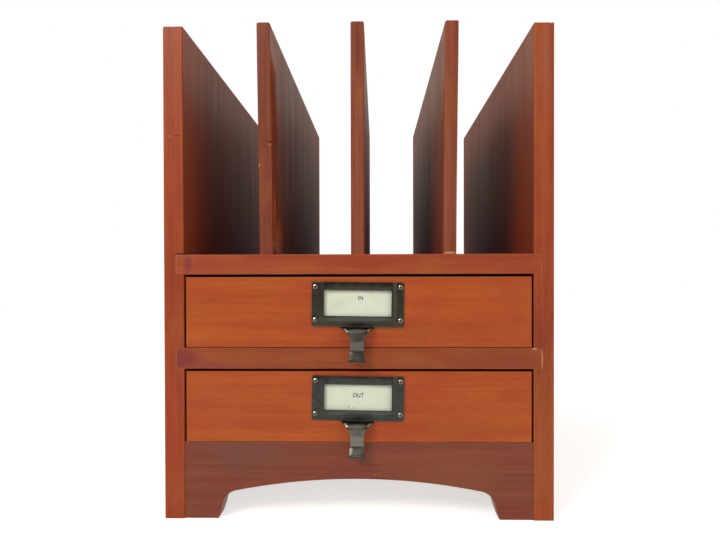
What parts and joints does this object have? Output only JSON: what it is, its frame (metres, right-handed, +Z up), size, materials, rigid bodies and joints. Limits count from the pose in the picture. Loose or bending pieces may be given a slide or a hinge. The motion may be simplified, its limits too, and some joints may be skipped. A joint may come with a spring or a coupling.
{
  "type": "desk file sorter with drawers",
  "caption": "Wooden desk sorter: upright dividers make open letter slots over two inset drawers with card-frame pulls, on an arched apron with bracket feet.",
  "frame": {"origin": "on the floor under the centre of the part's whole box, pulls included", "axes": "+X to the right as the user faces the drawers, +Y to the back, +Z up"},
  "size_m": [0.28, 0.3276, 0.3574],
  "materials": {
    "stained_case_wood": "reddish brown stain, satin varnish",
    "stained_drawer_wood": "orange brown stain, satin varnish",
    "stained_apron_wood": "dark brown stain, satin varnish",
    "plain_softwood": "planed, unstained",
    "plywood": "sanded, unstained",
    "dark_bronze_metal": "dark bronze on stamped steel, satin, lighter on worn edges",
    "dark_screw_steel": "dark plated, slightly bright on the rims",
    "zinc_plated_steel": "zinc plated",
    "label_card": "matt card, pale greenish cream"
  },
  "bodies": {
    "case": {"left_side_panel": "stained_case_wood", "right_side_panel": "stained_case_wood", "sorter_deck": "stained_case_wood", "middle_shelf": "stained_case_wood", "bottom_panel": "plywood", "back_panel": "plywood", "front_apron": "stained_apron_wood", "apron_glue_blocks": "plain_softwood", "divider_screws": "zinc_plated_steel", "back_panel_brads": "zinc_plated_steel", "slot_divider_1": "stained_case_wood", "slot_divider_2": "stained_case_wood", "slot_divider_3": "stained_case_wood"},
    "upper_drawer": {"upper_drawer_front": "stained_drawer_wood", "upper_drawer_left_side": "plain_softwood", "upper_drawer_right_side": "plain_softwood", "upper_drawer_back": "plain_softwood", "upper_drawer_floor": "plywood", "upper_drawer_brads": "zinc_plated_steel", "upper_drawer_pull": "dark_bronze_metal", "upper_drawer_card": "label_card", "upper_drawer_pull_screws": "dark_screw_steel"},
    "lower_drawer": {"lower_drawer_front": "stained_drawer_wood", "lower_drawer_left_side": "plain_softwood", "lower_drawer_right_side": "plain_softwood", "lower_drawer_back": "plain_softwood", "lower_drawer_floor": "plywood", "lower_drawer_brads": "zinc_plated_steel", "lower_drawer_pull": "dark_bronze_metal", "lower_drawer_card": "label_card", "lower_drawer_pull_screws": "dark_screw_steel"}
  },
  "joints": [
    {"name": "upper_drawer_slide", "type": "slide", "parent": "case", "child": "upper_drawer", "axis": [0, -1, 0], "range_m": [0, 0.25]},
    {"name": "lower_drawer_slide", "type": "slide", "parent": "case", "child": "lower_drawer", "axis": [0, -1, 0], "range_m": [0, 0.25]}
  ]
}
